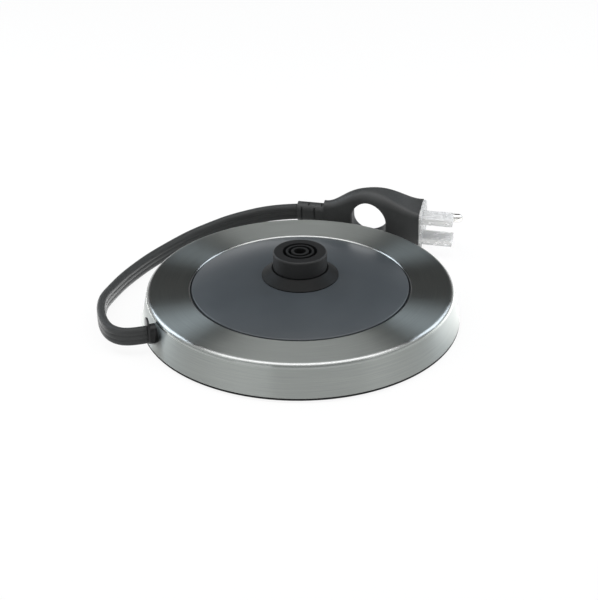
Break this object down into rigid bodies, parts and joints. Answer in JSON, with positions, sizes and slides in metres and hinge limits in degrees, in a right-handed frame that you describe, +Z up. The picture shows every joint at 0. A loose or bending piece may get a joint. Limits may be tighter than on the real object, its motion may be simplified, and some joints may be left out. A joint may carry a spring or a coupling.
{
  "type": "kettle power base",
  "caption": "Round corded power base of a cordless electric kettle: brushed steel ring, domed deck, ring-slot connector hub, flat cord and plug with clear blade cover.",
  "frame": {"origin": "centre of the round base on the surface that it stands on", "axes": "+Z up along the connector's axis, +Y away from the viewer, -X towards the side where the cord leaves"},
  "size_m": [0.1912, 0.1734, 0.0373],
  "materials": {
    "pan_plastic": "fine texture",
    "foot_rubber": "matte",
    "screw_steel": "zinc plated",
    "shell_steel": "circular brushed",
    "deck_plastic": "satin",
    "connector_plastic": "satin",
    "carrier_plastic": "matte",
    "contact_metal": "rolled strip",
    "cord_rubber": "satin",
    "grommet_plastic": "satin",
    "live_insulation": "smooth",
    "neutral_insulation": "smooth",
    "earth_insulation": "smooth",
    "plug_rubber": "satin",
    "bridge_plastic": "matte",
    "blade_brass": "nickel plated",
    "cover_plastic": "clear soft plastic"
  },
  "bodies": {
    "base": {"base_pan": "pan_plastic", "rubber_foot_1": "foot_rubber", "rubber_foot_2": "foot_rubber", "rubber_foot_3": "foot_rubber", "rubber_foot_4": "foot_rubber", "pan_screws": "screw_steel", "steel_shell": "shell_steel", "deck": "deck_plastic", "connector_hub": "connector_plastic", "connector_collar": "connector_plastic", "connector_screws": "screw_steel", "contact_carrier": "carrier_plastic", "carrier_screws": "screw_steel", "live_terminal": "contact_metal", "neutral_terminal": "contact_metal", "earth_terminal": "contact_metal", "power_cord": "cord_rubber", "cord_grommet": "grommet_plastic", "inner_cord": "cord_rubber", "cord_clamp": "carrier_plastic", "cord_clamp_screws": "screw_steel", "live_lead": "live_insulation", "neutral_lead": "neutral_insulation", "earth_lead": "earth_insulation", "plug_body": "plug_rubber", "plug_bridge": "bridge_plastic", "plug_blade_live": "blade_brass", "plug_blade_neutral": "blade_brass", "plug_ground_pin": "blade_brass"},
    "live_spring": {"live_contact": "contact_metal"},
    "neutral_spring": {"neutral_contact": "contact_metal"},
    "earth_spring": {"earth_contact": "contact_metal"},
    "cover": {"blade_cover": "cover_plastic"}
  },
  "joints": [
    {"name": "cover_slide", "type": "slide", "parent": "base", "child": "cover", "axis": [0.9744, -0.225, 0], "range_m": [0, 0.0222]},
    {"name": "live_flex", "type": "hinge", "parent": "base", "child": "live_spring", "pos_m": [0.013, 0, 0.01445], "axis": [0, -1, 0], "range_deg": [0, 3], "stiffness_Nm_per_rad": 2},
    {"name": "neutral_flex", "type": "hinge", "parent": "base", "child": "neutral_spring", "pos_m": [-0.013, 0.005, 0.01445], "axis": [0, 1, 0], "range_deg": [0, 3], "stiffness_Nm_per_rad": 2},
    {"name": "earth_flex", "type": "hinge", "parent": "base", "child": "earth_spring", "pos_m": [0.013, -0.0076, 0.01445], "axis": [0, -1, 0], "range_deg": [0, 3], "stiffness_Nm_per_rad": 2}
  ]
}
